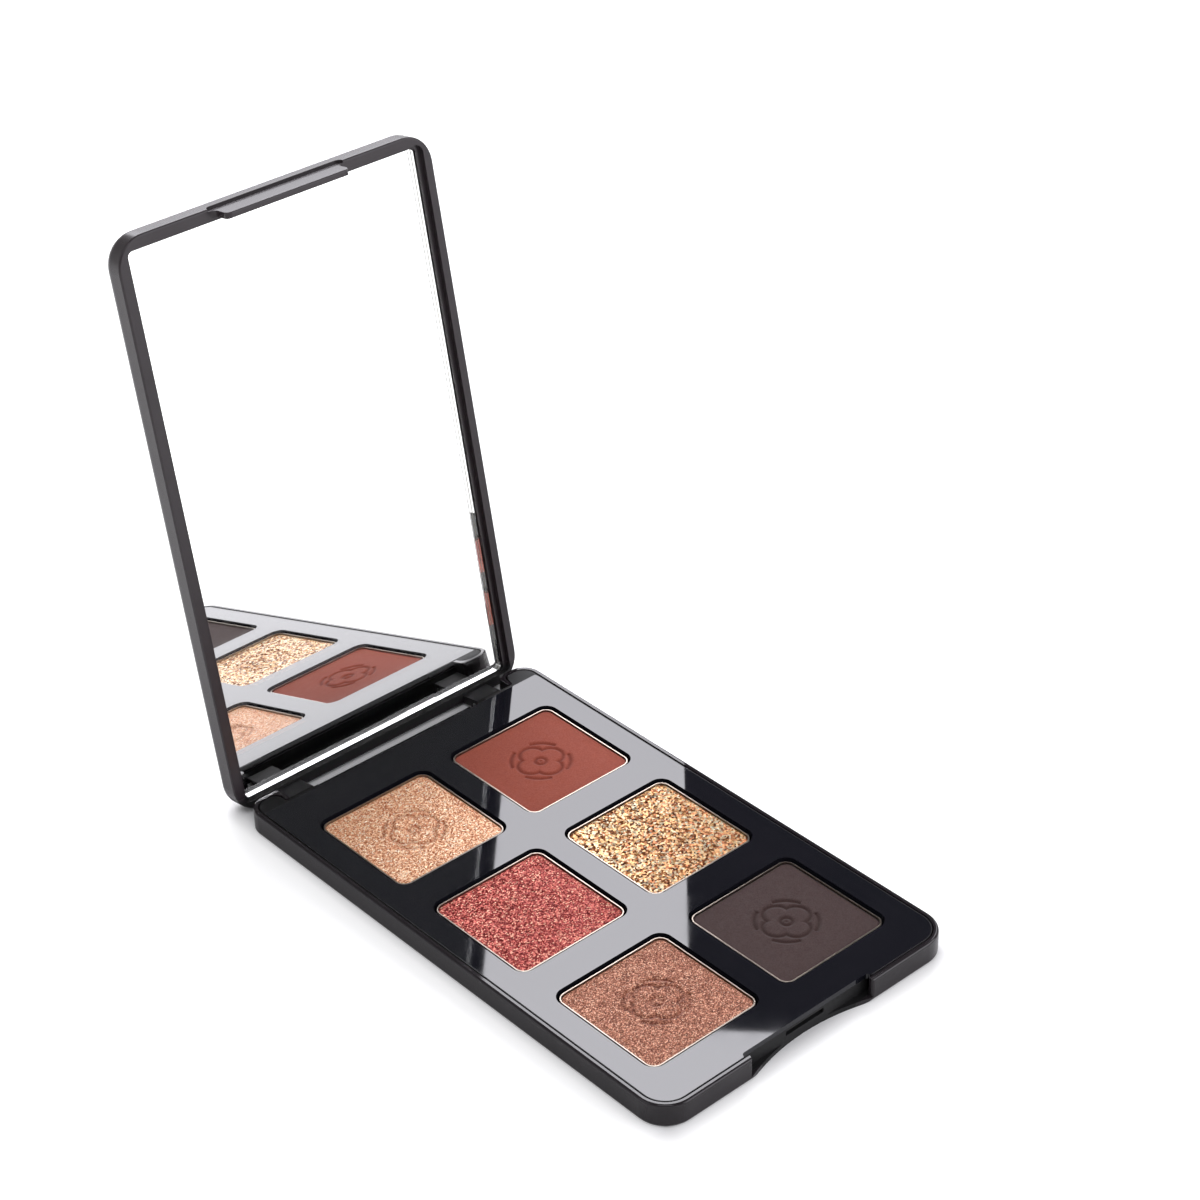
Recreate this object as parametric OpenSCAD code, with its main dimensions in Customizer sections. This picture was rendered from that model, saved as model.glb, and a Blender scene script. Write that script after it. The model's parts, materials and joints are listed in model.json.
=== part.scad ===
// Six-pan eyeshadow palette with a mirrored, hinged lid.
// Millimetres. Origin: centre of the base's flat underside. +X along the hinge, +Y to the hinge, +Z up.
// The lid is drawn closed and then swung open about the hinge axis by open_angle.

/* [Base] */
// Width across the hinge end
base_w = 75.4; // [72:0.2:84]
// Length from the front to the hinge end
base_l = 125; // [122:0.5:134]
// Height of the base, underside to rim
base_t = 5.2; // [5.2:0.1:6.4]
// Plan radius of the two front corners
front_r = 6.5; // [5:0.25:8]
// Plan radius of the two corners at the hinge end
horn_r = 4.5; // [3.5:0.25:5.5]
// Thickness of the base's outer wall, seen as its rim
wall = 1; // [0.8:0.05:1.2]
// Thickness of the base's floor
floor_t = 1; // [0.8:0.05:1.1]
// Fillet along the rim's outer edge
rim_fillet = 0.5; // [0.3:0.05:0.7]
// Fillet along the underside's edge
foot_fillet = 0.8; // [0.5:0.05:1]

/* [Hinge] */
// Distance from the hinge end of the base to the pin's centre
pin_back = 1.4; // [1.3:0.05:1.6]
// Height of the pin's centre above the underside
pin_h = 1.75; // [1.7:0.05:1.9]
// Diameter of the steel pins
pin_d = 1.2; // [1:0.05:1.3]
// Length of each pin
pin_l = 12; // [10:0.5:13]
// Radial running clearance between a pin and its knuckle
pin_play = 0.05; // [0.03:0.01:0.08]
// Width of each horn beside the hinge
horn_w = 8.5; // [7:0.1:9]
// Rounding of the horn's corner beside the lid
horn_inner_r = 2; // [1.5:0.1:2.5]
// Outer radius of the knuckles round the pins
knuckle_r = 1.4; // [1.3:0.05:1.5]
// Reach of a knuckle's squared nose beyond the pin's centre
knuckle_nose = 1.5; // [1.45:0.05:1.6]
// Rounding of that nose
nose_r = 0.6; // [0.4:0.05:0.8]
// Width of each knuckle
knuckle_w = 6.4; // [5:0.2:7]
// Gap between a knuckle and its horn
knuckle_gap = 0.8; // [0.5:0.05:1.2]
// Depth of the clear recess in front of the pin's centre
recess_front = 2.4; // [2:0.1:3]
// Angle from closed to fully open
open_angle = 100; // [92:1:100]

/* [Pan plate] */
// Groove between the base's wall and the pan plate
groove = 0.3; // [0.2:0.05:0.4]
// Step from the rim down to the plate's face
plate_step = 0.1; // [0.05:0.05:0.2]
// Thickness of the plate's face
plate_skin = 1.1; // [0.9:0.05:1.2]
// Thickness of the walls round each well
well_wall = 0.8; // [0.6:0.05:1]
// Thickness of each well's floor
well_floor = 0.4; // [0.3:0.05:0.5]
// Distance between the centres of the two columns of pans
column_pitch = 33.8; // [32:0.1:38]
// Distance from the front of the base to the first row of pans
first_row = 24; // [22:0.25:25]
// Distance from the hinge end of the base to the last row of pans
last_row = 29; // [28:0.25:31]
// Rounding of the plate's inner corner beside each horn
root_r = 0.7; // [0.4:0.1:1]
// Extra length of the plate in front of each knuckle
tongue = 0.6; // [0.4:0.05:0.8]

/* [Pans] */
// Outer side of each square pan
pan_side = 27; // [25:0.25:28]
// Height of each pan
pan_t = 3; // [2.6:0.05:3.1]
// Plan radius of a pan's corners
pan_r = 2.2; // [1.5:0.1:3]
// Thickness of a pan's wall and floor
pan_wall = 0.3; // [0.25:0.05:0.5]
// Gap between a pan and its well
pan_gap = 0.6; // [0.3:0.05:0.8]
// Depth of the powder's face below the pan's rim
powder_sink = 0.3; // [0.2:0.05:0.5]
// Fillet round the foot of a pan
pan_foot = 0.8; // [0.6:0.05:0.9]
// Rounding of the edges of a pan's rim and of its powder
soft_edge = 0.1; // [0.05:0.05:0.15]
// Diameter of the glue dot under each pan
dot_d = 14; // [8:1:20]
// Thickness of the glue dot
dot_t = 0.2; // [0.1:0.05:0.25]

/* [Lid] */
// Thickness of the lid
lid_t = 5.8; // [5.6:0.1:6]
// Gap between the closed lid and the base's rim
lid_gap = 0.3; // [0.25:0.05:0.4]
// Length of the lid behind the pin's centre
heel = 0.4; // [0.2:0.05:0.5]
// Plan radius of the lid's corners at the hinge end
heel_r = 6; // [5:0.25:6.5]
// Fillet along the lid's outer edge
lid_fillet = 2.4; // [2.4:0.1:2.8]
// Fillet along the lid's inner edge
lip_fillet = 0.4; // [0.3:0.05:0.5]
// Width of the lid's inner face beside the mirror
face_side = 2; // [1.6:0.05:2.2]
// Width of the lid's inner face at the tip
face_tip = 2.3; // [2.1:0.05:2.4]
// Depth of the step inside the lid's inner face
face_step = 1.1; // [0.8:0.05:1.2]
// Width of the ledge beside the mirror
ledge_side = 1.1; // [0.8:0.05:1.4]
// Width of the ledge at the tip
ledge_tip = 0.7; // [0.4:0.05:0.8]
// Distance from the pin's centre to the mirror's pocket
mirror_start = 1.9; // [1.8:0.05:2.2]

/* [Mirror and cover] */
// Depth of the mirror's face below the lid's inner face
mirror_sink = 1.7; // [1.3:0.05:1.8]
// Thickness of the mirror glass
mirror_t = 1.6; // [1.3:0.05:1.7]
// Plan radius of the mirror's corners
mirror_r = 1.2; // [0.8:0.1:2]
// Thickness of the adhesive sheets
tape_t = 0.15; // [0.1:0.05:0.2]
// Gap round the mirror and round the cover
inset_gap = 0.2; // [0.15:0.05:0.3]
// Thickness of the cover plate
cover_t = 1.25; // [1:0.05:1.3]
// Border of the lid beside the cover
cover_side = 3.2; // [2.8:0.1:4]
// Border of the lid before and behind the cover
cover_end = 3.8; // [3.4:0.1:4.4]
// Plan radius of the cover's corners
cover_r = 2.6; // [2:0.1:3.5]

/* [Catch] */
// Width of the lid's finger tab
tab_w = 29.4; // [24:0.2:31]
// Thickness of the tab
tab_t = 1.3; // [1.1:0.05:1.4]
// Distance that the tab's root lies behind the lid's tip
tab_set = 0.55; // [0.5:0.05:0.7]
// Slope of the tab's outer face, from its root to its edge
tab_slope = 0.1; // [0.05:0.05:0.3]
// Distance that the tab stands proud of the lid's inner face
tab_drop = 4.2; // [3.6:0.05:4.2]
// Height of the rebate that the tab starts in
tab_rise = 1.4; // [1.3:0.1:2]
// Plan radius of the tab's corners and of its root
tab_r = 1.2; // [0.8:0.05:1.3]
// Rounding along the tab's edge
tab_edge = 0.3; // [0.2:0.05:0.4]
// Gap between the tab and the base's notch
tab_gap = 0.4; // [0.4:0.05:0.5]
// Distance that the catch bead stands proud of the tab
bead_r = 0.25; // [0.2:0.05:0.3]
// Distance from the tab's edge to the bead's centre
bead_up = 1.65; // [1.2:0.05:2]
// Length of the catch bead
bead_l = 9; // [6:0.5:12]
// Gap at each end of the tab
notch_side = 0.9; // [0.8:0.1:1.4]
// Thickness of the wall behind the notch
notch_wall = 1.6; // [1.4:0.05:2]
// Radius of the cove at the foot of that wall
cove_r = 0.8; // [0.6:0.1:1]
// Depth of the thumb scoop in the floor's edge
scoop_deep = 2.7; // [2:0.1:3]

/* [Hidden] */
$fn = 72;
eps = 0.02;
past = 1;

// Places along the length
front_y = -base_l / 2;
rear_y = base_l / 2;
pin_y = rear_y - pin_back;
recess_y = pin_y - recess_front;
lid_rear_y = pin_y + heel;
lid_w = base_w;

// Heights
plate_top = base_t - plate_step;
skin_z = plate_top - plate_skin;
pan_z = floor_t + well_floor + dot_t;
lid_z = base_t + lid_gap;
hinge_rise = lid_z - pin_h;
mirror_pocket = mirror_sink + mirror_t + tape_t;
cover_pocket = cover_t + tape_t;

// Plan sizes that follow
inset = wall + groove;
horn_gap = base_w / 2 - horn_w;
pitch_y = (base_l - first_row - last_row) / 2;
plate_rear = recess_y - inset;
tongue_rear = plate_rear + tongue;
well_side = pan_side + 2 * pan_gap;
well_r = pan_r + pan_gap;
knuckle_out = horn_gap - knuckle_gap;
knuckle_in = knuckle_out - knuckle_w;
slot_in = knuckle_in - knuckle_gap / 2;
tongue_in = slot_in + knuckle_gap;
tab_front = front_y + tab_set;
tab_back = tab_front + tab_slope + tab_t;
notch_y = tab_back + tab_gap;
notch_half = tab_w / 2 + notch_side;
rim_end_r = 0.6;
s_bend = 1.5;
tab_tip_z = lid_z - tab_drop;
bead_z = tab_tip_z + bead_up;
slot_h = 1;
slot_deep = 0.8;
slot_edge = 0.4;
tray_r = 1;

// 2D: rectangle between two lengths, with its own radii at the front and the rear
module plan(w, y0, y1, rf, rr) {
    translate([-w / 2 + rf, y0]) square([w - 2 * rf, rf + eps]);
    translate([-w / 2 + rr, y1 - rr - eps]) square([w - 2 * rr, rr + eps]);
    translate([-w / 2, y0 + rf]) square([w, y1 - y0 - rf - rr]);
    for (s = [-1, 1]) {
        translate([s * (w / 2 - rf), y0 + rf]) circle(rf);
        translate([s * (w / 2 - rr), y1 - rr]) circle(rr);
    }
}

// 2D: what a fillet of radius r takes off an outer corner at the origin, lying in the -X -Y quarter
module fillet_cut(r) {
    difference() {
        translate([-r, -r]) square(r + past);
        translate([-r, -r]) circle(r);
    }
}

// 2D: the section of a slab's edge, from x = 0 out to x = w, filleted at its outer side
module edge_section(w, t, top, low) {
    difference() {
        square([w, t]);
        translate([w, t]) fillet_cut(top);
        translate([w, 0]) mirror([0, 1]) fillet_cut(low);
    }
}

// A slab with plan corners and a fillet round its top and bottom edges
module slab(w, y0, y1, t, rf, rr, top, low) {
    linear_extrude(t) plan(w - 2 * min(rf, rr), y0 + rf, y1 - rr, eps, eps);
    for (s = [-1, 1]) {
        translate([s * (w / 2 - rf), y0 + rf]) rotate_extrude() edge_section(rf, t, top, low);
        translate([s * (w / 2 - rr), y1 - rr]) rotate_extrude() edge_section(rr, t, top, low);
    }
    for (s = [0, 1]) mirror([s, 0, 0])
        translate([w / 2 - max(rf, rr), y1 - rr, 0]) rotate([90, 0, 0])
            linear_extrude(y1 - y0 - rf - rr) edge_section(max(rf, rr), t, top, low);
    translate([w / 2 - rf, y0 + rf, 0]) rotate([90, 0, -90])
        linear_extrude(w - 2 * rf) edge_section(rf, t, top, low);
    translate([-w / 2 + rr, y1 - rr, 0]) rotate([90, 0, 90])
        linear_extrude(w - 2 * rr) edge_section(rr, t, top, low);
}

// A square slab about the origin
module square_slab(side, t, r, top, low) {
    slab(side, -side / 2, side / 2, t, r, r, top, low);
}

// A bar along X with a given side view in the Y-Z plane
module bar_x(x0, x1) {
    translate([x0, 0, 0]) rotate([90, 0, 90]) linear_extrude(x1 - x0) children();
}

// Puts a part of the closed lid into the open lid
module opened() {
    translate([0, pin_y, pin_h]) rotate([-open_angle, 0, 0]) translate([0, -pin_y, -pin_h]) children();
}

// Both hinge sides
module each_side() {
    for (s = [0, 1]) mirror([s, 0, 0]) children();
}

// The centre of a pan, by column (-1, 1) and row (0, 1, 2 from the front)
function pan_at(col, row) = [col * column_pitch / 2, front_y + first_row + row * pitch_y, 0];

// 2D: a rounded square
module square_plan(side, r) {
    plan(side, -side / 2, side / 2, r, r);
}

// 2D: the recess between the horns, grown by grow and starting at y0, with its inner corners rounded by root
module recess_plan(grow, y0, root = eps) {
    half = horn_gap + grow;
    flare = horn_inner_r;
    end = rear_y + flare;
    translate([-half, y0 + root]) square([2 * half, end - y0 - root]);
    translate([-half + root, y0]) square([2 * (half - root), root + eps]);
    each_side() translate([half - root, y0 + root]) circle(root);
    each_side() translate([half, rear_y - grow - flare]) difference() {
        translate([-eps, 0]) square([flare + eps, end - rear_y + grow + flare]);
        translate([flare, 0]) circle(flare);
    }
}

// 2D: what lies under an S from (0, 0) to (s_bend, -rise), made of two equal arcs
module s_plan(rise) {
    r = (s_bend * s_bend + rise * rise) / (4 * rise);
    intersection() {
        translate([0, -r]) circle(r);
        translate([-eps, -rise]) square([s_bend / 2 + eps, rise]);
    }
    difference() {
        translate([s_bend / 2 - eps, -rise]) square([s_bend / 2 + eps, rise / 2]);
        translate([s_bend, r - rise]) circle(r);
    }
}

/* ---- Base ---- */

// What the shell is hollowed by: the tray for the pan plate, and the shelf that its edge and ears lie on
module tray() {
    translate([0, 0, floor_t]) linear_extrude(base_t)
        plan(base_w - 2 * wall, front_y + wall, recess_y - wall, front_r - wall, tray_r);
    translate([0, 0, skin_z]) linear_extrude(base_t) difference() {
        plan(base_w - 2 * wall, front_y + wall, rear_y - wall, front_r - wall, horn_r - wall);
        difference() {
            recess_plan(wall, tongue_rear + groove);
            recess_plan(0, front_y);
        }
    }
}

// The notch for the tab: open to the front, with a cove at its foot and rounded ends
module notch_cut() {
    depth = notch_y - front_y;
    difference() {
        translate([-notch_half, front_y - past, floor_t]) cube([2 * notch_half, depth + past, base_t]);
        translate([-base_w / 2, notch_y - cove_r, floor_t]) difference() {
            translate([0, 0, -eps]) cube([base_w, cove_r + past, cove_r + eps]);
            translate([-past, 0, cove_r]) rotate([0, 90, 0]) cylinder(h = base_w + 2 * past, r = cove_r);
        }
    }
    each_side() translate([notch_half, front_y, floor_t]) linear_extrude(base_t) difference() {
        translate([-eps, -past]) square([rim_end_r + eps, rim_end_r + past]);
        translate([rim_end_r, rim_end_r]) circle(rim_end_r);
    }
}

// The thumb scoop in the floor's front edge
module scoop_cut() {
    r = (notch_half * notch_half + scoop_deep * scoop_deep) / (2 * scoop_deep);
    translate([0, front_y + scoop_deep - r, -past]) cylinder(h = floor_t + cove_r + past, r = r, $fn = 180);
}

// What the horns lose round the hinge axis, so that the lid's inner face swings past them
module horn_round() {
    r = hinge_rise - lid_gap;
    difference() {
        translate([-base_w, pin_y, pin_h]) cube([2 * base_w, pin_back + past, base_t]);
        translate([-base_w - past, pin_y, pin_h]) rotate([0, 90, 0])
            cylinder(h = 2 * (base_w + past), r = r);
    }
}

module base_shell() {
    color("#2b2a2c") difference() {
        union() {
            difference() {
                slab(base_w, front_y, rear_y, base_t, front_r, horn_r, rim_fillet, foot_fillet);
                tray();
            }
            // wall behind the notch, under the plate's face
            translate([-notch_half - wall, notch_y, floor_t - eps])
                cube([2 * (notch_half + wall), notch_wall, skin_z - floor_t + eps]);
        }
        // the rear recess, down to the floor
        translate([0, 0, floor_t]) linear_extrude(base_t) recess_plan(0, recess_y);
        // openings for the knuckles, through the floor
        each_side() translate([slot_in, recess_y, -past])
            cube([horn_gap - slot_in, pin_back + recess_front + past, base_t]);
        notch_cut();
        scoop_cut();
        // catch slot
        translate([-bead_l / 2 - slot_edge, notch_y - eps, bead_z - slot_h / 2])
            cube([bead_l + 2 * slot_edge, slot_deep + eps, slot_h]);
        horn_round();
        // bores for the pins
        each_side() translate([horn_gap - past, pin_y, pin_h]) rotate([0, 90, 0])
            cylinder(h = pin_l - knuckle_w - knuckle_gap + past, d = pin_d);
    }
}

/* ---- Pan plate ---- */

// 2D: the plate's outline
module plate_plan() {
    notch_rise = notch_y - front_y - inset;
    difference() {
        plan(base_w - 2 * inset, front_y + inset, rear_y - inset, front_r - inset, horn_r - inset);
        recess_plan(inset, tongue_rear, root_r);
        translate([-tongue_in, plate_rear]) square([2 * tongue_in, tongue + root_r + eps]);
        translate([-notch_half, front_y]) square([2 * notch_half, notch_y - front_y]);
        each_side() translate([notch_half, notch_y]) s_plan(notch_rise);
    }
}

// 2D: every well, grown by a wall
module wells_plan(grow) {
    for (col = [-1, 1]) for (row = [0 : 2]) translate(pan_at(col, row))
        square_plan(well_side + 2 * grow, well_r + grow);
}

module pan_plate() {
    color("#17171b") difference() {
        union() {
            translate([0, 0, skin_z]) linear_extrude(plate_skin) plate_plan();
            // skirt round the tray
            translate([0, 0, floor_t]) linear_extrude(skin_z - floor_t + eps) difference() {
                skirt_plan(0);
                skirt_plan(well_wall);
            }
            translate([0, 0, floor_t]) linear_extrude(skin_z - floor_t + eps) wells_plan(well_wall);
        }
        translate([0, 0, floor_t + well_floor]) linear_extrude(base_t) wells_plan(0);
    }
}

// 2D: the plate's skirt, which stands on the floor inside the tray
module skirt_plan(in) {
    y0 = notch_y + notch_wall + groove + in;
    plan(base_w - 2 * inset - 2 * in, y0, plate_rear - in, tray_r, tray_r);
}

/* ---- Pans ---- */

module pan(col, row) {
    color("#c9c6c2") translate(pan_at(col, row)) translate([0, 0, pan_z]) difference() {
        square_slab(pan_side, pan_t, pan_r, soft_edge, pan_foot);
        translate([0, 0, pan_wall])
            square_slab(pan_side - 2 * pan_wall, pan_t, pan_r - pan_wall, soft_edge, pan_foot - pan_wall);
    }
}

module powder(col, row, tint) {
    color(tint) translate(pan_at(col, row)) translate([0, 0, pan_z + pan_wall]) square_slab(
        pan_side - 2 * pan_wall, pan_t - pan_wall - powder_sink, pan_r - pan_wall,
        soft_edge, pan_foot - pan_wall
    );
}

module dot(col, row) {
    color("#d8d2b8") translate(pan_at(col, row)) translate([0, 0, floor_t + well_floor])
        cylinder(h = dot_t, d = dot_d);
}

module pan_front_left() {
    pan(-1, 0);
}

module pan_front_right() {
    pan(1, 0);
}

module pan_middle_left() {
    pan(-1, 1);
}

module pan_middle_right() {
    pan(1, 1);
}

module pan_rear_left() {
    pan(-1, 2);
}

module pan_rear_right() {
    pan(1, 2);
}

module powder_front_left() {
    powder(-1, 0, "#a8705c");
}

module powder_front_right() {
    powder(1, 0, "#46393a");
}

module powder_middle_left() {
    powder(-1, 1, "#a8505a");
}

module powder_middle_right() {
    powder(1, 1, "#c9a468");
}

module powder_rear_left() {
    powder(-1, 2, "#d79a78");
}

module powder_rear_right() {
    powder(1, 2, "#8e4a3c");
}

module dot_front_left() {
    dot(-1, 0);
}

module dot_front_right() {
    dot(1, 0);
}

module dot_middle_left() {
    dot(-1, 1);
}

module dot_middle_right() {
    dot(1, 1);
}

module dot_rear_left() {
    dot(-1, 2);
}

module dot_rear_right() {
    dot(1, 2);
}

/* ---- Hinge pins ---- */

module pin() {
    translate([knuckle_in, pin_y, pin_h]) rotate([0, 90, 0]) cylinder(h = pin_l, d = pin_d);
}

module hinge_pin_left() {
    color("#b9bcc0") mirror([1, 0, 0]) pin();
}

module hinge_pin_right() {
    color("#b9bcc0") pin();
}

/* ---- Lid, drawn closed ---- */

// 2D: side view of a knuckle, from the nose below its barrel up into the lid
module knuckle_side() {
    translate([pin_y, pin_h]) {
        circle(knuckle_r);
        translate([-knuckle_r, nose_r - knuckle_nose])
            square([knuckle_r + heel, knuckle_nose - nose_r + hinge_rise + lip_fillet]);
        translate([nose_r - knuckle_r, -knuckle_nose]) square([knuckle_r - nose_r, nose_r + eps]);
        translate([nose_r - knuckle_r, nose_r - knuckle_nose]) circle(nose_r);
    }
}

// 2D: the tab seen from the front, with rounded corners and a fillet where each end meets the lid
module tab_front_view() {
    half = tab_w / 2;
    translate([-half, tab_tip_z + tab_r]) square([tab_w, tab_drop + tab_rise - tab_r]);
    translate([-half + tab_r, tab_tip_z]) square([tab_w - 2 * tab_r, tab_r + eps]);
    each_side() translate([half - tab_r, tab_tip_z + tab_r]) circle(tab_r);
    each_side() translate([half, lid_z]) difference() {
        translate([-eps, -tab_r]) square([tab_r + eps, tab_r + tab_rise]);
        translate([tab_r, -tab_r]) circle(tab_r);
    }
}

// 2D: the tab seen from its end: a sloped outer face and a rounded edge
module tab_side_view() {
    rise = tab_drop + tab_rise;
    difference() {
        translate([tab_front, tab_tip_z]) polygon([
            [0, rise],
            [tab_slope, 0],
            [tab_slope + tab_t, 0],
            [tab_slope + tab_t, rise]
        ]);
        translate([tab_back, tab_tip_z]) mirror([0, 1]) fillet_cut(tab_edge);
        translate([tab_front + tab_slope, tab_tip_z]) mirror([1, 0]) mirror([0, 1]) fillet_cut(tab_edge);
    }
}

// The tab and its catch bead
module tab() {
    intersection() {
        translate([0, tab_back, 0]) rotate([90, 0, 0])
            linear_extrude(tab_back - front_y) tab_front_view();
        bar_x(-tab_w, tab_w) tab_side_view();
    }
    translate([-bead_l / 2, tab_back, bead_z]) rotate([0, 90, 0]) cylinder(h = bead_l, r = bead_r);
}

// The rebate in the lid's end that the tab starts in, with rounded ends
module tab_rebate() {
    half = notch_half + rim_end_r;
    translate([0, tab_front, 0]) rotate([90, 0, 0]) linear_extrude(tab_set + past) {
        translate([-half, lid_z - past]) square([2 * half, tab_rise + past - tab_r]);
        translate([-half + tab_r, lid_z - past]) square([2 * (half - tab_r), tab_rise + past]);
        each_side() translate([half - tab_r, lid_z + tab_rise - tab_r]) circle(tab_r);
    }
}

module lid_frame() {
    step_w = lid_w - 2 * face_side;
    step_y = front_y + face_tip;
    pocket_w = step_w - 2 * ledge_side;
    pocket_rear = pin_y - mirror_start;
    cover_w = lid_w - 2 * cover_side;
    color("#2b2a2c") opened() difference() {
        union() {
            difference() {
                translate([0, 0, lid_z])
                    slab(lid_w, front_y, lid_rear_y, lid_t, front_r, heel_r, lid_fillet, lip_fillet);
                tab_rebate();
            }
            tab();
            each_side() bar_x(knuckle_in, knuckle_out) knuckle_side();
        }
        // the step and the mirror's pocket
        translate([0, 0, lid_z - past]) linear_extrude(face_step + past)
            plan(step_w, step_y, pocket_rear, mirror_r + ledge_tip, mirror_r);
        translate([0, 0, lid_z + face_step - eps]) linear_extrude(mirror_pocket - face_step + eps)
            plan(pocket_w, step_y + ledge_tip, pocket_rear, mirror_r, mirror_r);
        // the cover's pocket
        translate([0, 0, lid_z + lid_t - cover_pocket]) linear_extrude(cover_pocket + past)
            plan(cover_w, front_y + cover_end, lid_rear_y - cover_end, cover_r, cover_r);
        // bores for the pins
        translate([-base_w, pin_y, pin_h]) rotate([0, 90, 0])
            cylinder(h = 2 * base_w, d = pin_d + 2 * pin_play);
    }
}

// A plate that fills the mirror's pocket, between two heights above the lid's inner face
module mirror_layer(z0, z1) {
    w = lid_w - 2 * (face_side + ledge_side + inset_gap);
    y0 = front_y + face_tip + ledge_tip + inset_gap;
    y1 = pin_y - mirror_start - inset_gap;
    r = mirror_r - inset_gap;
    opened() translate([0, 0, lid_z + z0]) linear_extrude(z1 - z0) plan(w, y0, y1, r, r);
}

module mirror_glass() {
    color("#e8edf0") mirror_layer(mirror_sink, mirror_sink + mirror_t);
}

module mirror_tape() {
    color("#d8d2b8") mirror_layer(mirror_sink + mirror_t, mirror_pocket);
}

// A plate that fills the cover's pocket, down from the lid's outer face
module cover_layer(z0, z1) {
    w = lid_w - 2 * (cover_side + inset_gap);
    y0 = front_y + cover_end + inset_gap;
    y1 = lid_rear_y - cover_end - inset_gap;
    r = cover_r - inset_gap;
    opened() translate([0, 0, lid_z + lid_t - z1]) linear_extrude(z1 - z0) plan(w, y0, y1, r, r);
}

module lid_cover() {
    color("#3a393b") cover_layer(0, cover_t);
}

module cover_tape() {
    color("#d8d2b8") cover_layer(cover_t, cover_pocket);
}

base_shell();
pan_plate();
hinge_pin_left();
hinge_pin_right();
lid_frame();
lid_cover();
cover_tape();
mirror_glass();
mirror_tape();
pan_front_left();
pan_front_right();
pan_middle_left();
pan_middle_right();
pan_rear_left();
pan_rear_right();
powder_front_left();
powder_front_right();
powder_middle_left();
powder_middle_right();
powder_rear_left();
powder_rear_right();
dot_front_left();
dot_front_right();
dot_middle_left();
dot_middle_right();
dot_rear_left();
dot_rear_right();
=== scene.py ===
"""Studio scene of an open eyeshadow palette: pressed powders, mirror glass, materials, light and camera.

Lengths are in metres and +Z is up. The row frame's origin is the centre of the base's underside.
"""

import json
import math

import bpy
import numpy as np
from mathutils import Matrix, Quaternion, Vector


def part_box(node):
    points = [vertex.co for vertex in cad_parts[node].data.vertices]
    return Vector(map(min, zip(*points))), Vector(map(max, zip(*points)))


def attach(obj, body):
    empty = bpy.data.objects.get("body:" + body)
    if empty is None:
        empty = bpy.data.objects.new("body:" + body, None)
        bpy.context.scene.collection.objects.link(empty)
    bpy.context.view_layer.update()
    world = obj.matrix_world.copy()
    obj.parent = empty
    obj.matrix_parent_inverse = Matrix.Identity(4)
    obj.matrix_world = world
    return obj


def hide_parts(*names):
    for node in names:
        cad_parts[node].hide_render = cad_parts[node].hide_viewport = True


MM = 0.001

# Camera, from its fit to the photograph
CAMERA_AT = Vector((-0.28765, -0.33493, 0.35206))
CAMERA_AZIMUTH = math.radians(41.16)
CAMERA_DOWN = math.radians(32.84)
CAMERA_ROLL = math.radians(-1.43)
CAMERA_LENS = 85.2

# Lid
OPEN_ANGLE = math.radians(100)
GLASS_BEVEL = 0.06 * MM
GLASS_CORNER = 1.0 * MM
LEAST_CORNER = 0.2 * MM
SILVER_INSET = 0.1 * MM
SILVER_DEEP = 0.04 * MM

# Powders
POWDER_CORNER = 1.9 * MM
POWDER_PLAY = 0.02 * MM
POWDER_GRID = 150
POWDER_FOOT = 0.4 * MM
EDGE_FROM = 0.975
EDGE_DROP = 0.2 * MM
EMBOSS_WIDTH = 0.44 * MM
# Painted shade: the colour that the pressed motif's grooves are multiplied by
PRESSED_SHADE = (0.62, 0.48, 0.42, 1)
PETAL_R = 2.75 * MM
PETAL_AT = 2.6 * MM
RING_R = 6.2 * MM
EYE_R = 1.1 * MM

# Groove between the base's wall and the plate, where shade is painted on the base and on the plate's
# arris
WALL = 1.0 * MM
GROOVE = 0.3 * MM
GROOVE_CORNER = 5.5 * MM
GROOVE_REACH = 0.1 * MM
GROOVE_FADE = 0.15 * MM
ARRIS = 0.22 * MM
ARRIS_FADE = 0.08 * MM

# Where one finish turns into the next or painted shade begins, and how rough they are
FADE = 0.1 * MM
RIM_POLISH = 4.65 * MM
PLATE_REAR = 57.3 * MM
HORN_X = 29.4 * MM
HEEL_Z = 4.5 * MM
HEEL_FADE = 1 * MM
POLISHED = 0.05
DULL = 0.6
DULL_ARRIS = 0.7

# Moulded edges
EDGE_ROUNDING = {"pan_plate": 0.16 * MM, "base_shell": 0.06 * MM}
EDGE_ANGLE = math.radians(60)
SMOOTH_ANGLE = math.radians(35)

# Light: the world's level for the object, and its levels in reflections from the horizon up
AMBIENT = 0.5
HORIZON, OVERHEAD = 0.9, 0.25
HORIZON_Z, OVERHEAD_Z = 0.15, 0.45
SOFTBOX_WHITE = (0.985, 0.975, 1.03, 1)

# Softboxes: (azimuth, elevation) in degrees, distance, width, height, and glow at the foot and head
SOFTBOXES = {
    "softbox_rear": ((40, 28), 1.3, 1.1, 0.95, 0.8, 10.0),
    "softbox_front": ((142, 22), 1.4, 1.2, 0.96, 3.2, 3.2),
    "softbox_side": ((-70, 40), 1.5, 0.8, 0.8, 1.2, 1.2),
    "softbox_top": ((-138, 62), 1.3, 0.7, 0.45, 3.0, 3.0),
}

# Floor: how much its white is lifted, how far from the palette's foot, and where that foot is
FLOOR_HALF = 4
FLOOR_LIFT = 0.5
FLOOR_FADE = 5 * MM
FLOOR_GLOSS_FADE = 70 * MM
FOOT_LOW = Vector((3, 2, 0)) * MM
FOOT_HIGH = Vector((-3, 5, 0)) * MM

# Dark card behind the palette's right side
CARD_W = 71.9 * MM
CARD_H = 127 * MM
CARD_T = 10 * MM
CARD_CORNER = 6 * MM
CARD_FOOT = Vector((87.4, 12.7, 0)) * MM
CARD_TURN = math.radians(-46.8)
CARD_LEAN = math.radians(10)

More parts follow.
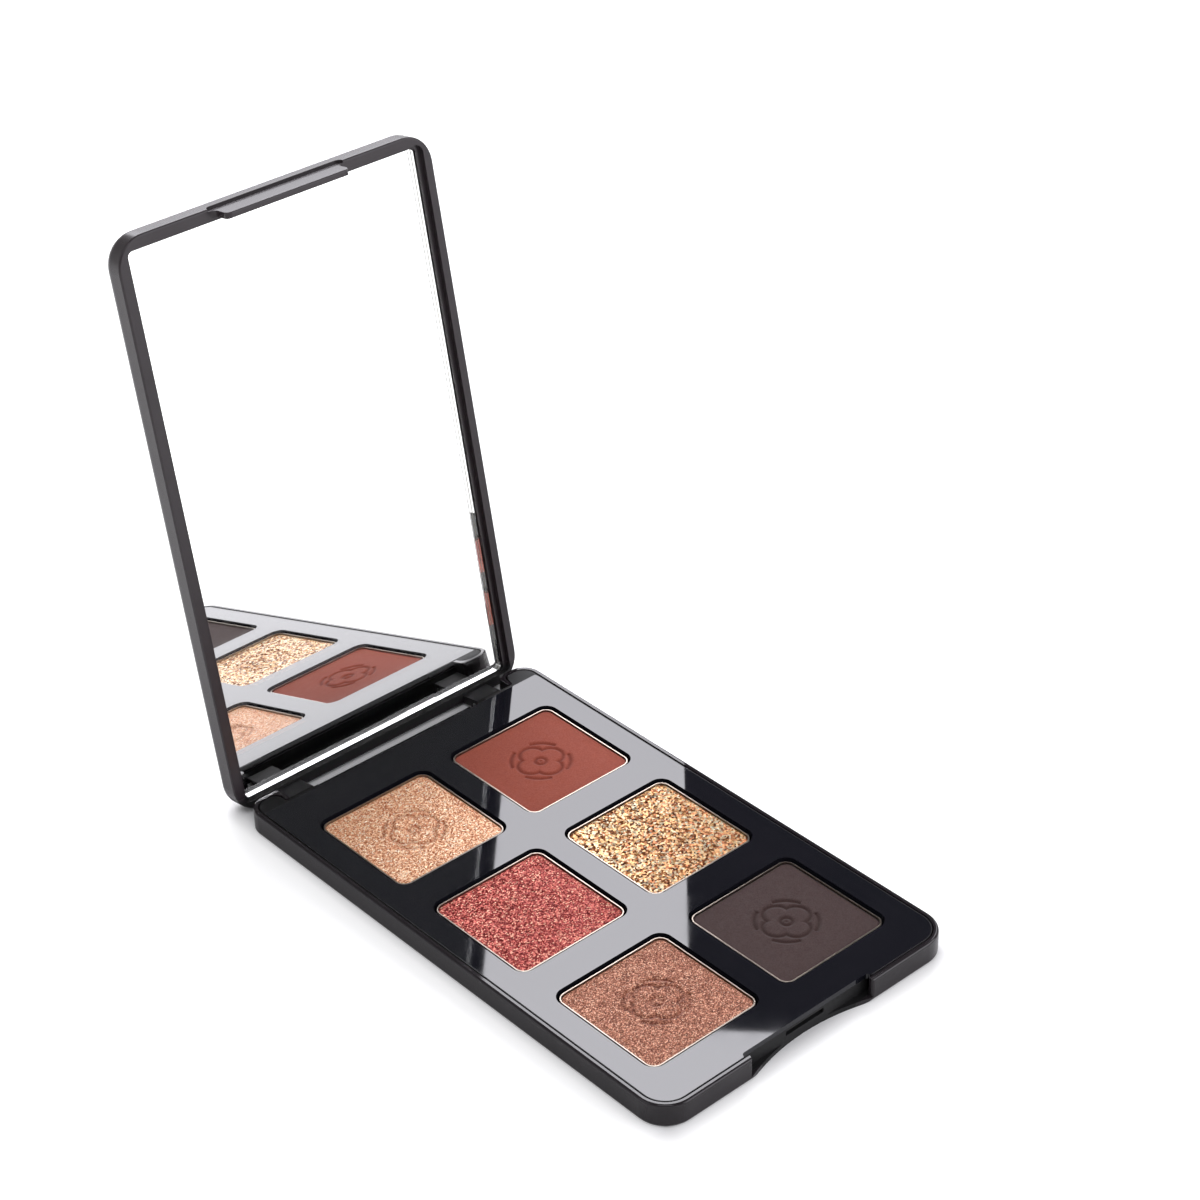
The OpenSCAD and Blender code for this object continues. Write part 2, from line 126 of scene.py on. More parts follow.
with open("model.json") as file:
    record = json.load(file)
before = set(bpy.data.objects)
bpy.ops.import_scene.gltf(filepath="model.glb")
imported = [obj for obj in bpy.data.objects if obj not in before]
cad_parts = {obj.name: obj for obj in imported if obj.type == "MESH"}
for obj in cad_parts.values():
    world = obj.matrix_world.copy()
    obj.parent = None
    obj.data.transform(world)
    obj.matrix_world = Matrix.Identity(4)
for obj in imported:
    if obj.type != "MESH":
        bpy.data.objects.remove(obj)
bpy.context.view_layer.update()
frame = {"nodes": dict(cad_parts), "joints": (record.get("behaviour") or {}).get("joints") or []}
nodes = frame["nodes"]
base_low, base_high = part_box("base_shell")
to_core = Vector((WALL + GROOVE_CORNER, WALL + GROOVE_CORNER, 0))
GROOVE_CORE = (base_low + to_core, base_high - to_core)


# ---------------------------------------------------------------- node helpers


def srgb(r, g, b):
    """A colour written as 0 to 255 values, as linear RGBA."""
    linear = [
        (c / 255 / 12.92) if c <= 10 else ((c / 255 + 0.055) / 1.055) ** 2.4
        for c in (r, g, b)
    ]
    return (*linear, 1.0)


def grey(level):
    return (level, level, level, 1)


def map_range(tree, out, low, high, start, end):
    """A socket that goes from start to end, mapped to low to high."""
    node = tree.nodes.new("ShaderNodeMapRange")
    for key, value in zip(("From Min", "From Max", "To Min", "To Max"), (start, end, low, high)):
        node.inputs[key].default_value = value
    tree.links.new(out, node.inputs["Value"])
    return node.outputs["Result"]


class Shader:
    """A material with one Principled BSDF and short ways to add nodes."""

    def __init__(self, name, **values):
        self.mat = bpy.data.materials.new(name)
        self.mat.use_nodes = True
        self.tree = self.mat.node_tree
        self.bsdf = self.tree.nodes["Principled BSDF"]
        for key, value in values.items():
            self.bsdf.inputs[key.replace("_", " ")].default_value = value
        self.place = self.add("ShaderNodeTexCoord").outputs["Object"]

    def add(self, kind, **settings):
        node = self.tree.nodes.new(kind)
        for key, value in settings.items():
            setattr(node, key, value)
        return node

    def link(self, out, into):
        self.tree.links.new(out, into)

    def noise(self, size, detail=2.0, rough=0.5):
        """Noise whose grain is about size metres across."""
        node = self.add("ShaderNodeTexNoise")
        node.inputs["Scale"].default_value = 1 / size
        node.inputs["Detail"].default_value = detail
        node.inputs["Roughness"].default_value = rough
        self.link(self.place, node.inputs["Vector"])
        return node.outputs["Fac"]

    def cells(self, size):
        """Flakes about size metres across, each with its own random colour."""
        node = self.add("ShaderNodeTexVoronoi")
        node.inputs["Scale"].default_value = 1 / size
        self.link(self.place, node.inputs["Vector"])
        return node.outputs["Color"]

    def ramp(self, fac, *stops):
        """A colour ramp from (position, colour) stops."""
        node = self.add("ShaderNodeValToRGB")
        elements = node.color_ramp.elements
        while len(elements) < len(stops):
            elements.new(0.5)
        for element, (position, colour) in zip(elements, stops):
            element.position = position
            element.color = colour
        self.link(fac, node.inputs["Fac"])
        return node.outputs["Color"]

    def spread(self, fac, low, high, start=0.3, end=0.7):
        """fac from start to end, mapped to low to high."""
        return map_range(self.tree, fac, low, high, start, end)

    def split(self, value, channel):
        """One channel of a colour, or one of X, Y and Z of a place."""
        kind = "ShaderNodeSeparateXYZ" if channel in "XYZ" else "ShaderNodeSeparateColor"
        node = self.add(kind)
        self.link(value, node.inputs[0])
        return node.outputs[channel]

    def maths(self, operation, *values):
        """A maths node on numbers and sockets."""
        node = self.add("ShaderNodeMath", operation=operation)
        for value, socket in zip(values, node.inputs):
            if isinstance(value, bpy.types.NodeSocket):
                self.link(value, socket)
            else:
                socket.default_value = value
        return node.outputs[0]

    def mix(self, fac, a, b):
        """From a to b, both numbers or both colours, as fac goes from 0 to 1."""
        colours = any(isinstance(v, tuple) or getattr(v, "type", "") == "RGBA" for v in (a, b))
        node = self.add("ShaderNodeMix", data_type="RGBA" if colours else "FLOAT")
        sockets = [i for i in node.inputs if i.enabled]
        for value, socket in zip((fac, a, b), sockets):
            if isinstance(value, bpy.types.NodeSocket):
                self.link(value, socket)
            else:
                socket.default_value = value
        return next(o for o in node.outputs if o.enabled)

    def bump(self, height, depth, strength=1.0):
        """Bump of that depth in metres, after any bump already there."""
        node = self.add("ShaderNodeBump")
        node.inputs["Distance"].default_value = depth
        node.inputs["Strength"].default_value = strength
        self.link(height, node.inputs["Height"])
        normal = self.bsdf.inputs["Normal"]
        if normal.is_linked:
            self.link(normal.links[0].from_socket, node.inputs["Normal"])
        self.link(node.outputs["Normal"], normal)

    def flakes(self, colour, tilt):
        """Tilts each flake's normal at random by about tilt."""
        centred = self.add("ShaderNodeVectorMath", operation="SUBTRACT")
        centred.inputs[1].default_value = (0.5, 0.5, 0.5)
        self.link(colour, centred.inputs[0])
        scaled = self.add("ShaderNodeVectorMath", operation="SCALE")
        scaled.inputs["Scale"].default_value = tilt
        self.link(centred.outputs[0], scaled.inputs[0])
        total = self.add("ShaderNodeVectorMath", operation="ADD")
        self.link(scaled.outputs[0], total.inputs[0])
        self.link(self.add("ShaderNodeNewGeometry").outputs["Normal"], total.inputs[1])
        unit = self.add("ShaderNodeVectorMath", operation="NORMALIZE")
        self.link(total.outputs[0], unit.inputs[0])
        self.link(unit.outputs[0], self.bsdf.inputs["Normal"])

    def outside(self, box, fade, level, start=0.0):
        """0 in the plan of a box and up to start metres round it, then up to level over fade metres."""
        centre, half = (box[0] + box[1]) / 2, (box[1] - box[0]) / 2
        offset = self.add("ShaderNodeVectorMath", operation="SUBTRACT")
        offset.inputs[1].default_value = (centre.x, centre.y, 0)
        self.link(self.place, offset.inputs[0])
        folded = self.add("ShaderNodeVectorMath", operation="ABSOLUTE")
        self.link(offset.outputs[0], folded.inputs[0])
        over = self.add("ShaderNodeVectorMath", operation="SUBTRACT")
        over.inputs[1].default_value = (half.x, half.y, 1)
        self.link(folded.outputs[0], over.inputs[0])
        outer = self.add("ShaderNodeVectorMath", operation="MAXIMUM")
        outer.inputs[1].default_value = (0, 0, 0)
        self.link(over.outputs[0], outer.inputs[0])
        away = self.add("ShaderNodeVectorMath", operation="LENGTH")
        self.link(outer.outputs[0], away.inputs[0])
        return self.spread(away.outputs["Value"], 0, level, start, start + fade)

    def pressed(self):
        """Paints shade into the colour where the motif is pressed in."""
        depth = self.add("ShaderNodeAttribute", attribute_name="pressed").outputs["Fac"]
        shade = self.mix(depth, (1, 1, 1, 1), PRESSED_SHADE)
        product = self.add("ShaderNodeVectorMath", operation="MULTIPLY")
        self.link(self.now("Base Color"), product.inputs[0])
        self.link(shade, product.inputs[1])
        self.into(product.outputs[0], "Base Color")

    def into(self, out, key):
        self.link(out, self.bsdf.inputs[key])

    def now(self, key):
        """The socket that feeds an input of the shader."""
        return self.bsdf.inputs[key].links[0].from_socket


def dress(piece, mat):
    piece.data.materials.clear()
    piece.data.materials.append(mat)


def smooth(piece):
    """Smooth shading that keeps the sharp edges."""
    for polygon in piece.data.polygons:
        polygon.use_smooth = True
    with bpy.context.temp_override(
        object=piece, active_object=piece, selected_editable_objects=[piece]
    ):
        bpy.ops.object.shade_smooth_by_angle(angle=SMOOTH_ANGLE)


def direction(azimuth, elevation):
    """The unit vector towards an azimuth, clockwise from +Y, and an elevation."""
    level = math.cos(elevation)
    return Vector((math.sin(azimuth) * level, math.cos(azimuth) * level, math.sin(elevation)))


def new_piece(name, verts, faces, mat):
    mesh = bpy.data.meshes.new(name)
    mesh.from_pydata(verts, [], faces)
    mesh.update()
    piece = bpy.data.objects.new(name, mesh)
    bpy.context.scene.collection.objects.link(piece)
    dress(piece, mat)
    return piece


# ---------------------------------------------------------------- materials


def shell_material(name, low, high):
    """Charcoal plastic with a satin coat: fine grain and faint mottling."""
    s = Shader(name, IOR=1.42)
    s.into(s.ramp(s.noise(9 * MM, 3), (0.1, low), (0.9, high)), "Base Color")
    s.into(s.spread(s.noise(8 * MM), 0.25, 0.28, 0, 1), "Roughness")
    s.bump(s.noise(0.3 * MM, 1), 0.0015 * MM)
    return s


def lid_material():
    """The lid's plastic, matte round the hinge, where painted shade also darkens it."""
    s = shell_material("satin_charcoal_lid", srgb(43, 37, 40), srgb(53, 47, 50))
    hinge_matte_and_shaded = s.spread(s.split(s.place, "Z"), 1, 0, HEEL_Z - HEEL_FADE, HEEL_Z)
    s.into(s.mix(hinge_matte_and_shaded, s.now("Roughness"), DULL), "Roughness")
    # Painted shade: the lid turns near black below the hinge's height
    s.into(s.mix(hinge_matte_and_shaded, s.now("Base Color"), srgb(22, 21, 22)), "Base Color")
    return s.mat


def base_material():
    """The base's plastic: polished on top of the rim; matte, and darkened with painted shade, in the
    groove and round the knuckles.
    """
    s = shell_material("satin_charcoal_base", srgb(32, 28, 31), srgb(42, 38, 41))
    across = s.maths("ABSOLUTE", s.split(s.place, "X"))
    along = s.split(s.place, "Y")
    height = s.split(s.place, "Z")
    past_groove = s.outside(GROOVE_CORE, GROOVE_FADE, 1.0, GROOVE_CORNER - GROOVE_REACH)
    below_rim = s.spread(height, 1, 0, RIM_POLISH - FADE, RIM_POLISH)
    in_groove = s.maths("MULTIPLY", below_rim, s.maths("SUBTRACT", 1.0, past_groove))
    between_horns = s.spread(across, 1, 0, HORN_X - FADE, HORN_X)
    behind_plate = s.spread(along, 0, 1, PLATE_REAR - FADE, PLATE_REAR)
    in_recess = s.maths("MULTIPLY", between_horns, behind_plate)
    dull_and_shaded = s.maths("MAXIMUM", in_groove, in_recess)
    coat = s.mix(below_rim, POLISHED, s.now("Roughness"))
    s.into(s.mix(dull_and_shaded, coat, DULL), "Roughness")
    # Painted shade: near black in the groove and in the recess between the horns
    s.into(s.mix(dull_and_shaded, s.now("Base Color"), srgb(15, 15, 16)), "Base Color")
    return s.mat


def cover_material():
    """The let-in plate of the lid: flatter and finer than the shell."""
    s = Shader("fine_matte_charcoal", IOR=1.46)
    mottle = s.noise(14 * MM, 3)
    s.into(s.ramp(mottle, (0.3, srgb(33, 33, 34)), (0.7, srgb(36, 35, 36))), "Base Color")
    s.into(s.spread(s.noise(3 * MM), 0.5, 0.52), "Roughness")
    s.bump(s.noise(0.09 * MM, 1), 0.003 * MM)
    return s.mat


def plate_material():
    """Polished black plastic with the slight waviness of a moulding; matte, with painted shade, at the
    arris by the groove and behind its rear edge.
    """
    s = Shader("polished_black", IOR=1.5)
    colour = s.ramp(s.noise(20 * MM), (0.3, srgb(19, 20, 26)), (0.7, srgb(23, 23, 29)))
    gloss = s.spread(s.noise(6 * MM, 4), 0.03, 0.055)
    arris = s.outside(GROOVE_CORE, ARRIS_FADE, 1.0, GROOVE_CORNER - GROOVE - ARRIS)
    tongue = s.spread(s.split(s.place, "Y"), 0, 1, PLATE_REAR, PLATE_REAR + FADE)
    dull_and_shaded = s.maths("MAXIMUM", arris, tongue)
    s.into(s.mix(dull_and_shaded, gloss, DULL_ARRIS), "Roughness")
    # Painted shade: near black at the groove's arris and behind the plate's rear edge
    s.into(s.mix(dull_and_shaded, colour, srgb(10, 10, 12)), "Base Color")
    s.bump(s.noise(16 * MM, 1), 0.004 * MM)
    return s.mat


def metal_material(name, low, high, rough, grain):
    """Metal with fine drawing lines along the grain's long side."""
    s = Shader(name, Metallic=1.0)
    stretch = s.add("ShaderNodeMapping")
    stretch.inputs["Scale"].default_value = grain
    s.link(s.place, stretch.inputs["Vector"])
    s.place = stretch.outputs["Vector"]
    lines = s.noise(0.4 * MM, 3)
    s.into(s.ramp(lines, (0.25, low), (0.75, high)), "Base Color")
    s.into(s.spread(lines, rough * 0.85, rough * 1.2), "Roughness")
    s.bump(lines, 0.002 * MM)
    return s.mat


def adhesive_material():
    s = Shader("clear_adhesive", Roughness=0.35, IOR=1.47)
    haze = s.noise(2 * MM)
    s.into(s.ramp(haze, (0.3, srgb(214, 208, 184)), (0.7, srgb(228, 224, 206))), "Base Color")
    s.bump(s.noise(0.8 * MM), 0.01 * MM)
    return s.mat


def glass_material():
    """Clear mirror glass with its faint green tint."""
    s = Shader("mirror_glass_clear", Roughness=0.0, IOR=1.52, Transmission_Weight=1.0)
    tint = s.noise(60 * MM)
    s.into(s.ramp(tint, (0.3, (0.98, 0.985, 0.98, 1)), (0.7, (0.985, 0.99, 0.985, 1))), "Base Color")
    return s.mat


def silver_material():
    """The mirror's silvering, a little warm."""
    s = Shader("mirror_silver", Metallic=1.0, Roughness=0.0)
    tint = s.noise(50 * MM)
    s.into(s.ramp(tint, (0.3, (0.965, 0.96, 0.955, 1)), (0.7, (0.975, 0.97, 0.965, 1))), "Base Color")
    return s.mat


def matte_powder(name, dark, light):
    """Pressed matte powder: fine grain, a few paler specks and the press cloth's soft mottling."""
    s = Shader(name, IOR=1.4, Specular_IOR_Level=0.25, Sheen_Weight=0.08, Sheen_Roughness=0.5)
    grain = s.noise(0.22 * MM, 4, 0.65)
    s.into(s.ramp(grain, (0.3, dark), (0.7, light)), "Base Color")
    s.pressed()
    s.into(s.spread(s.noise(1.5 * MM), 0.72, 0.85), "Roughness")
    s.bump(grain, 0.03 * MM, 0.6)
    s.bump(s.noise(2.2 * MM, 3), 0.05 * MM, 0.5)
    return s.mat


def shimmer_powder(name, flake, tilt, metal, rough, *stops):
    """Pressed pearl powder: flakes of that size, each with its own shade and tilt."""
    s = Shader(name, Metallic=metal, IOR=1.5)
    colour = s.cells(flake)
    s.into(s.ramp(s.split(colour, "Red"), *stops), "Base Color")
    s.pressed()
    s.into(s.spread(s.split(colour, "Green"), rough * 0.7, rough * 1.3, 0, 1), "Roughness")
    s.flakes(colour, tilt)
    s.bump(s.noise(0.5 * MM, 3), 0.04 * MM, 0.5)
    return s.mat


lid = lid_material()
base = base_material()
cover = cover_material()
plate = plate_material()
tin = metal_material(
    "drawn_tinplate", srgb(138, 128, 118), srgb(182, 172, 160), 0.32, (1, 1, 6)
)
steel = metal_material(
    "steel_rod", srgb(150, 150, 152), srgb(196, 196, 198), 0.3, (0.15, 1, 1)
)
adhesive = adhesive_material()

POWDERS = {
    "front_left": shimmer_powder(
        "bronze_shimmer", 0.19 * MM, 0.6, 0.3, 0.5,
        (0.0, srgb(86, 42, 26)), (0.48, srgb(152, 88, 64)),
        (0.86, srgb(206, 138, 106)), (1.0, srgb(252, 208, 176)),
    ),
    "front_right": matte_powder("espresso_matte", srgb(54, 38, 36), srgb(74, 56, 54)),
    "middle_left": shimmer_powder(
        "rose_shimmer", 0.26 * MM, 0.75, 0.35, 0.45,
        (0.0, srgb(104, 20, 22)), (0.45, srgb(162, 50, 46)),
        (0.85, srgb(216, 104, 88)), (1.0, srgb(255, 200, 168)),
    ),
    "middle_right": shimmer_powder(
        "gold_glitter", 0.42 * MM, 0.95, 0.6, 0.35,
        (0.0, srgb(78, 34, 14)), (0.36, srgb(180, 108, 58)),
        (0.66, srgb(248, 200, 138)), (1.0, srgb(255, 250, 222)),
    ),
    "rear_left": shimmer_powder(
        "peach_shimmer", 0.22 * MM, 0.65, 0.3, 0.5,
        (0.0, srgb(190, 98, 60)), (0.42, srgb(240, 166, 122)),
        (0.84, srgb(255, 214, 170)), (1.0, srgb(255, 248, 224)),
    ),
    "rear_right": matte_powder("terracotta_matte", srgb(136, 63, 47), srgb(166, 84, 66)),
}

# How deep the motif is pressed, which also sets how much painted shade its grooves get, and how uneven
# the surface is
EMBOSS = {
    "front_left": 0.27 * MM,
    "front_right": 0.28 * MM,
    "middle_left": 0.09 * MM,
    "middle_right": 0.12 * MM,
    "rear_left": 0.22 * MM,
    "rear_right": 0.28 * MM,
}
UNEVEN = {
    "front_left": 0.012 * MM,
    "front_right": 0.004 * MM,
    "middle_left": 0.03 * MM,
    "middle_right": 0.05 * MM,
    "rear_left": 0.012 * MM,
    "rear_right": 0.004 * MM,
}

for name, node in nodes.items():
    if name == "base_shell":
        dress(node, base)
    elif name == "lid_frame":
        dress(node, lid)
    elif name == "lid_cover":
        dress(node, cover)
    elif name == "pan_plate":
        dress(node, plate)
    elif name.startswith("pan_"):
        dress(node, tin)
    elif name.startswith("hinge_pin"):
        dress(node, steel)
    elif name.startswith("dot_") or name.endswith("_tape"):
        dress(node, adhesive)


# ---------------------------------------------------------------- powders


def emboss_depth(x, y, width):
    """How deep the pressed motif is at (x, y), from 0 to 1: four petals, a centre and a ring of arcs."""
    petals = np.full_like(x, np.inf)
    for k in range(4):
        angle = k * math.pi / 2
        away = np.hypot(x - PETAL_AT * math.cos(angle), y - PETAL_AT * math.sin(angle)) - PETAL_R
        petals = np.minimum(petals, away)
    centre = np.abs(np.hypot(x, y) - EYE_R)
    ring = np.abs(np.hypot(x, y) - RING_R)
    turn = np.cos(4 * np.arctan2(y, x))
    ring = np.where(turn < 0.25, ring, np.inf)
    nearest = np.minimum(np.minimum(np.abs(petals), centre), ring)
    return np.exp(-((nearest / width) ** 2))


def rounded_square(half, corner, count):
    """Grid of count by count points that fills a rounded square, as x and y arrays from its centre."""
    u, v = np.meshgrid(np.linspace(-1, 1, count), np.linspace(-1, 1, count))
    ring = np.maximum(np.maximum(np.abs(u), np.abs(v)), 1e-9)
    x, y = u / ring * half, v / ring * half
    core = half - corner
    over_x, over_y = np.abs(x) - core, np.abs(y) - core
    in_corner = (over_x > 0) & (over_y > 0)
    reach = np.where(in_corner, np.hypot(over_x, over_y), 1)
    x = np.where(in_corner, np.sign(x) * (core + over_x / reach * corner), x)
    y = np.where(in_corner, np.sign(y) * (core + over_y / reach * corner), y)
    return x * ring, y * ring, ring


def pressed_powder(place, mat):
    """A powder with its pressed motif, in place of the plain one."""
    low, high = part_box("powder_" + place)
    centre = (low + high) / 2
    half = (high.x - low.x) / 2
    n = POWDER_GRID
    x, y, ring = rounded_square(half - POWDER_PLAY, POWDER_CORNER, n)
    rng = np.random.default_rng(len(place) * 7 + ord(place[0]) + ord(place[-1]))
    grain = rng.random(x.shape) - 0.5
    pressed = emboss_depth(x, y, EMBOSS_WIDTH)
    z = -EMBOSS[place] * pressed + UNEVEN[place] * 2 * grain
    rim = np.clip((ring - EDGE_FROM) / (1 - EDGE_FROM), 0, 1)
    z = np.minimum(z, 0) - EDGE_DROP * rim**2
    top = np.stack([x + centre.x, y + centre.y, z + high.z], axis=-1).reshape(-1, 3)
    edge = (
        [(0, j) for j in range(n - 1)]
        + [(i, n - 1) for i in range(n - 1)]
        + [(n - 1, j) for j in range(n - 1, 0, -1)]
        + [(i, 0) for i in range(n - 1, 0, -1)]
    )
    foot = [(top[i * n + j][0], top[i * n + j][1], low.z + POWDER_FOOT) for i, j in edge]
    verts = top.tolist() + foot
    faces = [
        (i * n + j, i * n + j + 1, (i + 1) * n + j + 1, (i + 1) * n + j)
        for i in range(n - 1)
        for j in range(n - 1)
    ]
    first, count = n * n, len(edge)
    for k in range(count):
        a, b = edge[k], edge[(k + 1) % count]
        faces.append((first + k, first + (k + 1) % count, b[0] * n + b[1], a[0] * n + a[1]))
    faces.append(tuple(first + k for k in reversed(range(count))))
    piece = new_piece("pressed_powder_" + place, verts, faces, mat)
    for polygon in piece.data.polygons:
        polygon.use_smooth = True
    # Painted shade for the motif's grooves, strongest on the most deeply pressed powders
    shade = np.zeros(len(verts))
    shade[: n * n] = pressed.ravel() * EMBOSS[place] / max(EMBOSS.values())
    piece.data.attributes.new("pressed", "FLOAT", "POINT").data.foreach_set("value", shade)
    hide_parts("powder_" + place)
    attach(piece, "base")


for place, mat in POWDERS.items():
    pressed_powder(place, mat)


# ---------------------------------------------------------------- mirror

pin = Vector(frame["joints"][0]["pos_m"])
opened = Matrix.Translation(pin) @ Matrix.Rotation(-OPEN_ANGLE, 4, "X") @ Matrix.Translation(-pin)


def outline(low, high, corner, steps=6):
    """Points of a rounded rectangle, anticlockwise."""
    points = []
    for cx, cy, start in (
        (high.x - corner, high.y - corner, 0),
        (low.x + corner, high.y - corner, 90),
        (low.x + corner, low.y + corner, 180),
        (high.x - corner, low.y + corner, 270),
    ):
        for k in range(steps + 1):
            angle = math.radians(start + 90 * k / steps)
            points.append((cx + corner * math.cos(angle), cy + corner * math.sin(angle)))
    return points


def layered(name, rings, mat):
    """A closed plate through rings of (inset, height), in the closed lid's place and then opened."""
    low, high = mirror_low, mirror_high
    verts, faces, count = [], [], 0
    for inset, z in rings:
        shift = Vector((inset, inset, 0))
        points = outline(low + shift, high - shift, max(GLASS_CORNER - inset, LEAST_CORNER))
        count = len(points)
        verts += [opened @ Vector((x, y, z)) for x, y in points]
    for r in range(len(rings) - 1):
        for k in range(count):
            a, b = r * count + k, r * count + (k + 1) % count
            faces.append((a, b, b + count, a + count))
    faces.append(tuple(reversed(range(count))))
    faces.append(tuple(range((len(rings) - 1) * count, len(rings) * count)))
    piece = new_piece(name, verts, faces, mat)
    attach(piece, "lid")
    return piece


closed = opened.inverted()
corners = [closed @ v.co for v in nodes["mirror_glass"].data.vertices]
mirror_low = Vector([min(c[i] for c in corners) for i in range(3)])
mirror_high = Vector([max(c[i] for c in corners) for i in range(3)])
glass = layered(
    "mirror_pane",
    [
        (GLASS_BEVEL, mirror_low.z),
        (0, mirror_low.z + GLASS_BEVEL),
        (0, mirror_high.z - 2 * SILVER_DEEP),
    ],
    glass_material(),
)
silver = layered(
    "mirror_silvering",
    [(SILVER_INSET, mirror_high.z - SILVER_DEEP), (SILVER_INSET, mirror_high.z)],
    silver_material(),
)
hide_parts("mirror_glass")


# ---------------------------------------------------------------- camera

camera_data = bpy.data.cameras.new("camera")
camera_data.sensor_width = 36
camera_data.lens = CAMERA_LENS
camera_data.clip_start = 0.01
camera = bpy.data.objects.new("camera", camera_data)
bpy.context.scene.collection.objects.link(camera)
bpy.context.scene.camera = camera
looking = direction(CAMERA_AZIMUTH, -CAMERA_DOWN)
camera.rotation_mode = "QUATERNION"
camera.rotation_quaternion = looking.to_track_quat("-Z", "Y") @ Quaternion((0, 0, 1), CAMERA_ROLL)
camera.location = CAMERA_AT


# ---------------------------------------------------------------- studio


def rectangle(name, w, h, mat):
    """A flat piece that reaches w and h from its centre."""
    return new_piece(name, [(-w, -h, 0), (w, -h, 0), (w, h, 0), (-w, h, 0)], [(0, 1, 2, 3)], mat)


def emitter(name, low, high, height):
    """A glow from low at the panel's foot to high at its head, for a panel of that height."""
    mat = bpy.data.materials.new(name)
    mat.use_nodes = True
    tree = mat.node_tree
    tree.nodes.clear()
    place = tree.nodes.new("ShaderNodeTexCoord")
    split = tree.nodes.new("ShaderNodeSeparateXYZ")
    tree.links.new(place.outputs["Object"], split.inputs[0])
    fade = map_range(tree, split.outputs["Y"], low, high, -height / 2, height / 2)
    glow = tree.nodes.new("ShaderNodeEmission")
    glow.inputs["Color"].default_value = SOFTBOX_WHITE
    tree.links.new(fade, glow.inputs["Strength"])
    out = tree.nodes.new("ShaderNodeOutputMaterial")
    tree.links.new(glow.outputs[0], out.inputs["Surface"])
    return mat


def panel(name, toward, distance, width, height, low, high):
    """A flat panel that faces the palette from (azimuth, elevation), unseen by the camera."""
    azimuth, elevation = (math.radians(a) for a in toward)
    away = direction(azimuth, elevation)
    w, h = width / 2, height / 2
    mat = emitter(name, low, high, height)
    piece = rectangle(name, w, h, mat)
    facing = (-away).to_track_quat("Z", "Y").to_matrix().to_4x4()
    piece.matrix_world = Matrix.Translation(away * distance) @ facing
    piece.visible_camera = False


def dark_card():
    """A dark rounded card that leans behind the palette's right side, seen only in reflections."""
    s = Shader("dark_card", Roughness=0.7)
    s.into(s.ramp(s.noise(10 * MM), (0.3, srgb(38, 36, 38)), (0.7, srgb(44, 42, 44))), "Base Color")
    half = Vector((CARD_W / 2, CARD_H / 2, 0))
    points = outline(-half, half, CARD_CORNER)
    verts = [(x, y + half.y, z) for z in (-CARD_T / 2, CARD_T / 2) for x, y in points]
    count = len(points)
    faces = [tuple(reversed(range(count))), tuple(range(count, 2 * count))]
    faces += [(k, (k + 1) % count, (k + 1) % count + count, k + count) for k in range(count)]
    piece = new_piece("dark_card", verts, faces, s.mat)
    turn = Matrix.Rotation(CARD_TURN, 4, "Z") @ Matrix.Rotation(math.pi / 2 - CARD_LEAN, 4, "X")
    piece.matrix_world = Matrix.Translation(CARD_FOOT) @ turn
    for seen_by in ("camera", "diffuse", "shadow", "volume_scatter"):
        setattr(piece, "visible_" + seen_by, False)


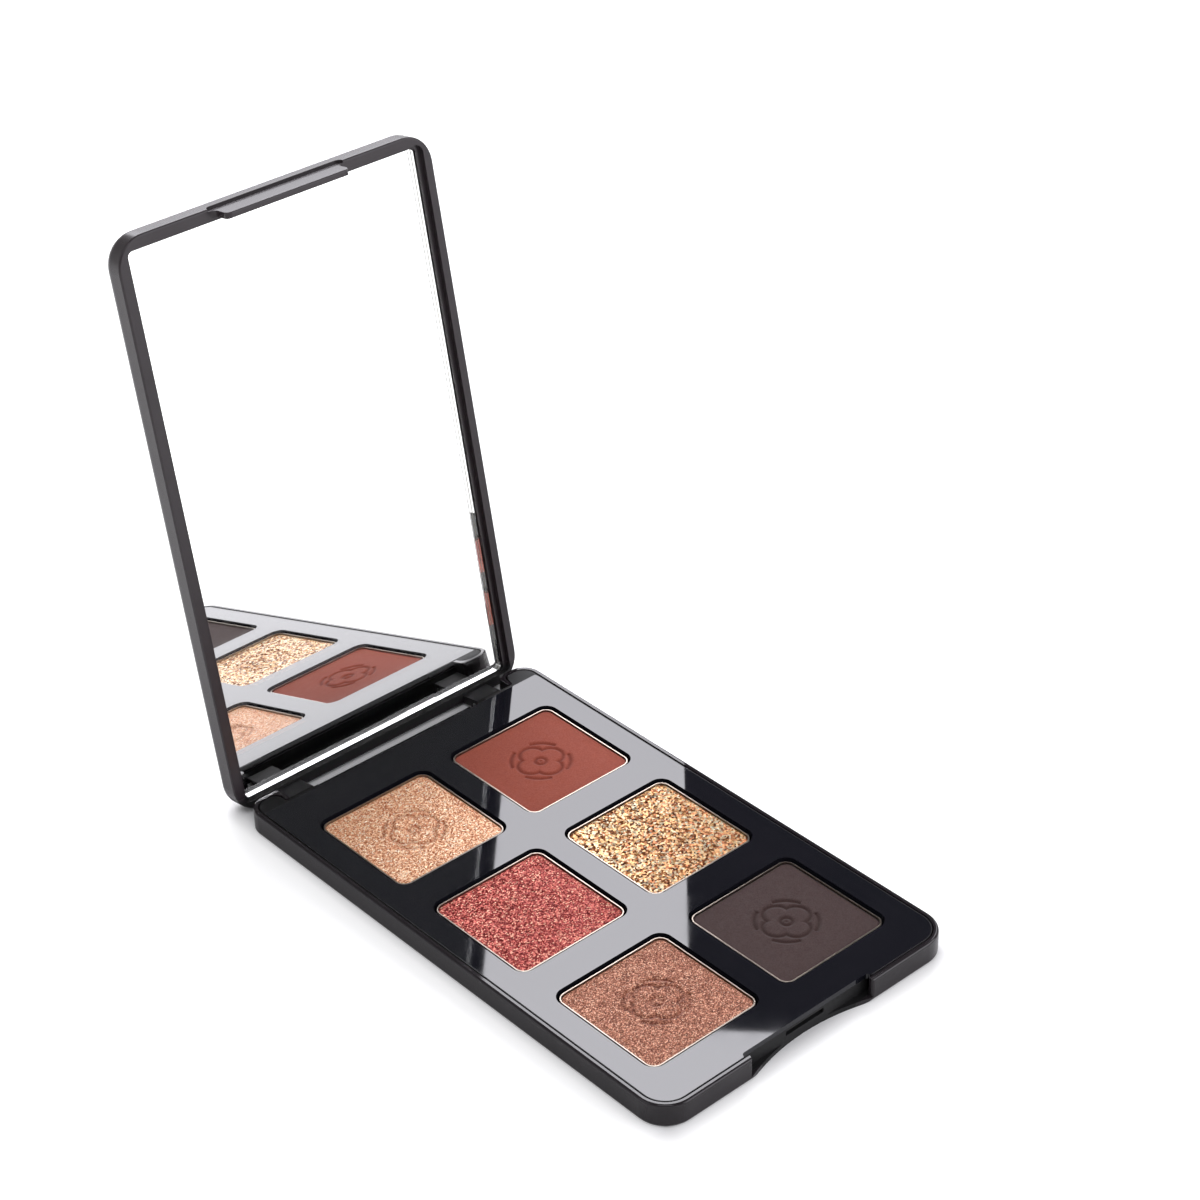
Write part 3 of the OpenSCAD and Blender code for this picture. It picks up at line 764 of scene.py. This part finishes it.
def floor_material():
    """White sweep. What it shows to the eye is lifted to white, and it keeps the palette's shadow."""
    s = Shader("floor_white", Roughness=0.9, Specular_IOR_Level=0.0)
    s.into(s.ramp(s.noise(400 * MM), (0.3, grey(0.80)), (0.7, grey(0.82))), "Base Color")
    rays = s.add("ShaderNodeLightPath").outputs
    seen = s.maths("MAXIMUM", rays["Is Camera Ray"], rays["Is Transmission Ray"])
    covered = (base_low + FOOT_LOW, base_high + FOOT_HIGH)
    to_eye = s.maths("MULTIPLY", seen, s.outside(covered, FLOOR_FADE, FLOOR_LIFT))
    in_gloss = s.maths(
        "MULTIPLY", rays["Is Glossy Ray"], s.outside(covered, FLOOR_GLOSS_FADE, FLOOR_LIFT)
    )
    lift = s.maths("ADD", to_eye, in_gloss)
    s.bsdf.inputs["Emission Color"].default_value = grey(1)
    s.into(lift, "Emission Strength")
    return s.mat


rectangle("floor", FLOOR_HALF, FLOOR_HALF, floor_material())

for name, values in SOFTBOXES.items():
    panel(name, *values)
dark_card()

world = bpy.data.worlds.new("studio")
bpy.context.scene.world = world
world.use_nodes = True
tree = world.node_tree
tree.nodes.clear()
path = tree.nodes.new("ShaderNodeLightPath")
sky = tree.nodes.new("ShaderNodeTexCoord")
up = tree.nodes.new("ShaderNodeSeparateXYZ")
tree.links.new(sky.outputs["Generated"], up.inputs[0])
ceiling = map_range(tree, up.outputs["Z"], HORIZON, OVERHEAD, HORIZON_Z, OVERHEAD_Z)
mirrored = tree.nodes.new("ShaderNodeMath")
mirrored.operation = "MAXIMUM"
tree.links.new(path.outputs["Is Glossy Ray"], mirrored.inputs[0])
tree.links.new(path.outputs["Is Transmission Ray"], mirrored.inputs[1])
ambient = tree.nodes.new("ShaderNodeMix")
ambient.inputs["A"].default_value = AMBIENT
tree.links.new(mirrored.outputs[0], ambient.inputs["Factor"])
tree.links.new(ceiling, ambient.inputs["B"])
level = tree.nodes.new("ShaderNodeMix")
level.inputs["B"].default_value = 1.0
tree.links.new(path.outputs["Is Camera Ray"], level.inputs["Factor"])
tree.links.new(ambient.outputs["Result"], level.inputs["A"])
background = tree.nodes.new("ShaderNodeBackground")
tree.links.new(level.outputs["Result"], background.inputs["Strength"])
world_out = tree.nodes.new("ShaderNodeOutputWorld")
tree.links.new(background.outputs[0], world_out.inputs["Surface"])

bpy.context.scene.view_settings.view_transform = "Standard"

for name, width in EDGE_ROUNDING.items():
    bevel = nodes[name].modifiers.new("edge_rounding", "BEVEL")
    bevel.width = width
    bevel.segments = 3
    bevel.limit_method = "ANGLE"
    bevel.angle_limit = EDGE_ANGLE

for node in nodes.values():
    if not node.hide_render:
        smooth(node)
        flats = node.modifiers.new("flat_faces", "WEIGHTED_NORMAL")
        flats.keep_sharp = True
